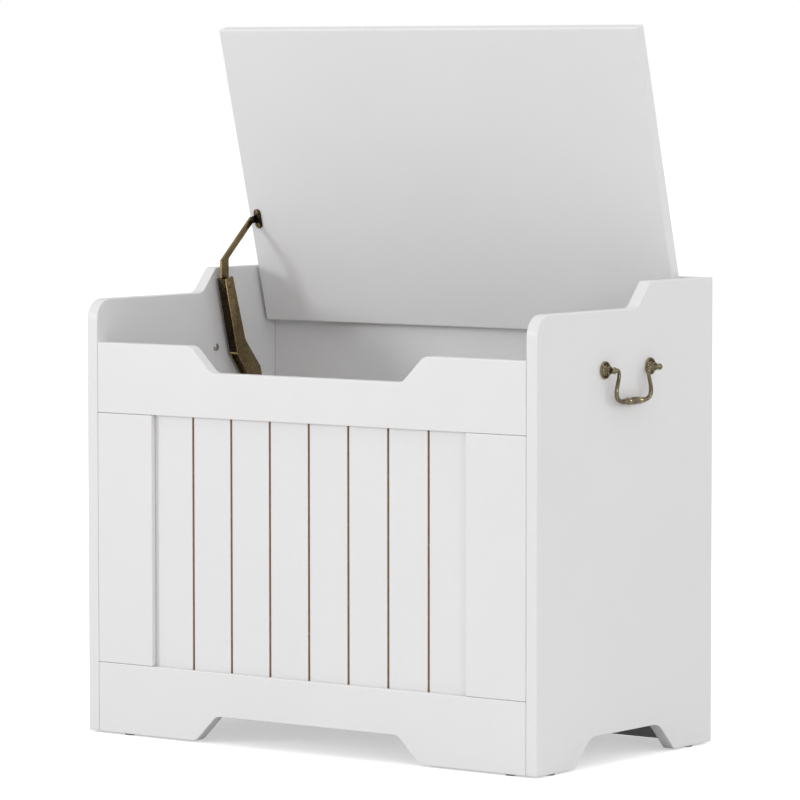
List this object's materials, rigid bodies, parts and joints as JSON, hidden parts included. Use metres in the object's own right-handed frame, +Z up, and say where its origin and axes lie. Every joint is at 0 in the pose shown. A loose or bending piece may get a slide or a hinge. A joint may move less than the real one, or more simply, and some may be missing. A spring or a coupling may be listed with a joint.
{
  "type": "toy box",
  "caption": "White wooden toy box with a grooved front, raised sides, hinged lid held by a cranked brass stay, and a bail handle on each side.",
  "frame": {"origin": "on the floor, under the middle of the box as seen from above", "axes": "+Z up, front towards -Y, +X to the right of a person who looks at the front"},
  "size_m": [0.6734, 0.35, 0.8248],
  "materials": {
    "white_paint": "satin white paint on fibreboard",
    "antique_brass": "dark antique brass, brighter on worn edges",
    "screw_steel": "zinc plated",
    "glide_plastic": "moulded grey plastic"
  },
  "bodies": {
    "carcass": {"side_panel_left": "white_paint", "side_panel_right": "white_paint", "back_panel": "white_paint", "bottom_panel": "white_paint", "bottom_cleat_left": "white_paint", "bottom_cleat_right": "white_paint", "front_top_rail": "white_paint", "front_apron": "white_paint", "front_stile_left": "white_paint", "front_stile_right": "white_paint", "grooved_front_panel": "white_paint", "glide_left_front": "glide_plastic", "glide_left_rear": "glide_plastic", "glide_right_front": "glide_plastic", "glide_right_rear": "glide_plastic", "glide_apron_left": "glide_plastic", "glide_apron_right": "glide_plastic", "glide_back_left": "glide_plastic", "glide_back_right": "glide_plastic", "hinge_left_wall_leaf": "antique_brass", "hinge_left_pin": "antique_brass", "hinge_left_wall_screw_1": "antique_brass", "hinge_left_wall_screw_2": "antique_brass", "hinge_right_wall_leaf": "antique_brass", "hinge_right_pin": "antique_brass", "hinge_right_wall_screw_1": "antique_brass", "hinge_right_wall_screw_2": "antique_brass", "stay_wall_plate": "antique_brass", "stay_wall_pin": "antique_brass", "stay_wall_screw_1": "antique_brass", "stay_wall_screw_2": "antique_brass", "handle_left_front_post": "antique_brass", "handle_left_rear_post": "antique_brass", "handle_left_front_screw": "screw_steel", "handle_left_rear_screw": "screw_steel", "handle_right_front_post": "antique_brass", "handle_right_rear_post": "antique_brass", "handle_right_front_screw": "screw_steel", "handle_right_rear_screw": "screw_steel"},
    "lid_assembly": {"lid": "white_paint", "hinge_left_lid_leaf": "antique_brass", "hinge_left_lid_screw_1": "antique_brass", "hinge_left_lid_screw_2": "antique_brass", "hinge_right_lid_leaf": "antique_brass", "hinge_right_lid_screw_1": "antique_brass", "hinge_right_lid_screw_2": "antique_brass", "stay_lid_bracket": "antique_brass", "stay_lid_pin": "antique_brass", "stay_lid_screw_1": "antique_brass", "stay_lid_screw_2": "antique_brass"},
    "stay_channel_link": {"stay_channel": "antique_brass", "stay_knee_rivet": "antique_brass"},
    "stay_arm_link": {"stay_arm": "antique_brass"},
    "left_bail": {"handle_left_bail": "antique_brass"},
    "right_bail": {"handle_right_bail": "antique_brass"}
  },
  "joints": [
    {"name": "lid_hinge", "type": "hinge", "parent": "carcass", "child": "lid_assembly", "pos_m": [0, 0.1561, 0.4767], "axis": [1, 0, 0], "range_deg": [0, 75.3]},
    {"name": "stay_wall_pivot", "type": "hinge", "parent": "carcass", "child": "stay_channel_link", "pos_m": [-0.29375, 0.1057, 0.3997], "axis": [1, 0, 0], "range_deg": [0, 75.3]},
    {"name": "stay_knee", "type": "hinge", "parent": "stay_channel_link", "child": "stay_arm_link", "pos_m": [-0.29375, 0.04997, 0.51596], "axis": [1, 0, 0], "range_deg": [-75.3, 0]},
    {"name": "left_handle_swing", "type": "hinge", "parent": "carcass", "child": "left_bail", "pos_m": [-0.3329, 0, 0.4414], "axis": [0, 1, 0], "range_deg": [-6, 198]},
    {"name": "right_handle_swing", "type": "hinge", "parent": "carcass", "child": "right_bail", "pos_m": [0.3329, 0, 0.4414], "axis": [0, -1, 0], "range_deg": [-6, 198]}
  ],
  "couplings": [
    {"joint": "stay_wall_pivot", "follows": "lid_hinge", "ratio": 1},
    {"joint": "stay_knee", "follows": "lid_hinge", "ratio": -1}
  ]
}
